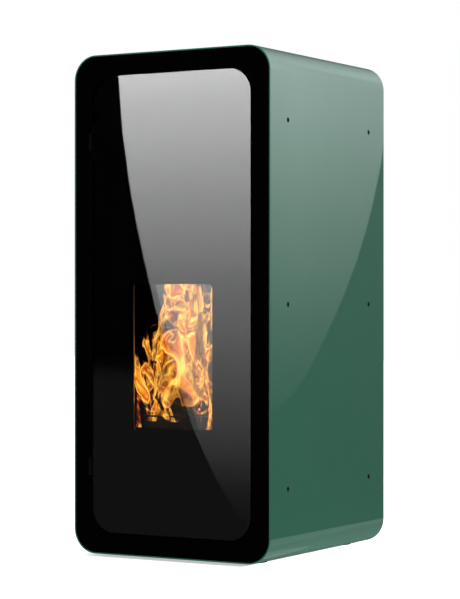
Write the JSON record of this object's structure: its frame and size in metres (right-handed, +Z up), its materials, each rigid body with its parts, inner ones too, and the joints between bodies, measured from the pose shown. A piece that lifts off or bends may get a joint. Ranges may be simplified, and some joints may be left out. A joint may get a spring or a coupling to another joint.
{
  "type": "hydronic pellet stove",
  "caption": "Upright stove that burns wood pellets and heats a water circuit: rounded casing, full-height glass door with a fire window, hopper, boiler, fan, pump and controls inside",
  "frame": {"origin": "middle of the footprint on the floor, under the feet; the footprint includes the pipe stubs behind", "axes": "+Z up, -Y out of the front door, +X to the right seen from the front"},
  "size_m": [0.52, 0.6, 1.155],
  "materials": {
    "green_paint": "satin powder coat",
    "black_paint": "matt heat-resistant paint",
    "front_glass": "polished tempered glass",
    "ceramic_glass": "clear ceramic glass",
    "zinc_sheet": "zinc-plated sheet",
    "steel": "turned steel",
    "boiler_steel": "dark heat-resistant paint",
    "cast_iron": "bare cast iron",
    "refractory": "pressed refractory board",
    "rope": "braided glass-fibre rope",
    "aluminium": "cast and pressed aluminium",
    "brass": "machined brass",
    "red_paint": "gloss paint",
    "black_plastic": "moulded plastic",
    "button_plastic": "moulded plastic",
    "grey_sheet": "satin paint",
    "black_screw": "blackened steel"
  },
  "bodies": {
    "cabinet": {"left_casing": "green_paint", "right_casing": "green_paint", "top_cover": "green_paint", "base_tray": "black_paint", "rear_panel": "black_paint", "front_frame": "black_paint", "front_posts": "zinc_sheet", "rear_posts": "zinc_sheet", "casing_screws": "black_screw", "levelling_feet": "black_screw", "hinge_brackets": "black_paint", "hinge_pins": "steel", "door_catch": "zinc_sheet", "boiler_body": "boiler_steel", "firebox_liner": "refractory", "pot_cradle": "steel", "igniter": "steel", "drawer_runners": "zinc_sheet", "smoke_box": "zinc_sheet", "cleaning_cover": "cast_iron", "cover_nuts": "black_plastic", "exhaust_duct": "zinc_sheet", "fan_housing": "aluminium", "fan_motor": "aluminium", "flue_spigot": "cast_iron", "air_intake_pipe": "zinc_sheet", "hopper": "zinc_sheet", "hopper_grille": "zinc_sheet", "lid_hinge_pin": "steel", "auger_tube": "zinc_sheet", "gearmotor": "aluminium", "drop_chute": "zinc_sheet", "circulation_pump": "red_paint", "return_pipe": "brass", "flow_pipe": "brass", "expansion_vessel": "red_paint", "safety_valve": "brass", "air_vent": "brass", "control_box": "grey_sheet", "display_panel": "black_plastic", "power_inlet": "black_plastic", "safety_thermostat": "black_plastic"},
    "front_door": {"door_glass": "front_glass", "glass_mask": "black_paint", "door_panel": "black_paint", "fire_glass": "ceramic_glass", "glass_retainer": "zinc_sheet", "door_seal": "rope"},
    "burner_pot": {"burner_pot": "cast_iron"},
    "ash_drawer": {"ash_drawer": "steel"},
    "scraper": {"turbulators": "steel", "scraper_rod": "steel"},
    "fan_wheel": {"fan_impeller": "aluminium"},
    "auger": {"auger_screw": "steel"},
    "lid": {"hopper_lid": "green_paint"},
    "power_button": {"button_power": "button_plastic"},
    "minus_button": {"button_minus": "button_plastic"},
    "plus_button": {"button_plus": "button_plastic"},
    "rocker": {"power_switch": "black_plastic"}
  },
  "joints": [
    {"name": "door_hinge", "type": "hinge", "parent": "cabinet", "child": "front_door", "pos_m": [-0.219, -0.2955, 0.581], "axis": [0, 0, -1], "range_deg": [0, 105]},
    {"name": "ash_drawer_slide", "type": "slide", "parent": "cabinet", "child": "ash_drawer", "axis": [0, -1, 0], "range_m": [0, 0.15]},
    {"name": "burner_pot_lift", "type": "slide", "parent": "cabinet", "child": "burner_pot", "axis": [0, 0, 1], "range_m": [0, 0.045]},
    {"name": "scraper_slide", "type": "slide", "parent": "cabinet", "child": "scraper", "axis": [0, 0, 1], "range_m": [0, 0.05]},
    {"name": "fan_spin", "type": "hinge", "parent": "cabinet", "child": "fan_wheel", "pos_m": [0.13, 0.067, 0.205], "axis": [0, 1, 0], "continuous": true},
    {"name": "auger_spin", "type": "hinge", "parent": "cabinet", "child": "auger", "pos_m": [0, 0.16779, 0.34509], "axis": [0, -0.5, 0.866], "continuous": true},
    {"name": "lid_hinge", "type": "hinge", "parent": "cabinet", "child": "lid", "pos_m": [0, 0.238, 1.1505], "axis": [-1, 0, 0], "range_deg": [0, 95]},
    {"name": "power_press", "type": "slide", "parent": "cabinet", "child": "power_button", "axis": [0, 0, -1], "range_m": [0, 0.0015], "stiffness_N_per_m": 300, "springref_m": -0.001},
    {"name": "minus_press", "type": "slide", "parent": "cabinet", "child": "minus_button", "axis": [0, 0, -1], "range_m": [0, 0.0015], "stiffness_N_per_m": 300, "springref_m": -0.001},
    {"name": "plus_press", "type": "slide", "parent": "cabinet", "child": "plus_button", "axis": [0, 0, -1], "range_m": [0, 0.0015], "stiffness_N_per_m": 300, "springref_m": -0.001},
    {"name": "rocker_tilt", "type": "hinge", "parent": "cabinet", "child": "rocker", "pos_m": [0.195, 0.254, 0.42], "axis": [1, 0, 0], "range_deg": [0, 18]}
  ],
  "couplings": [
    {"joint": "ash_drawer_slide", "follows": "door_hinge", "m_per_rad": 0.08}
  ]
}
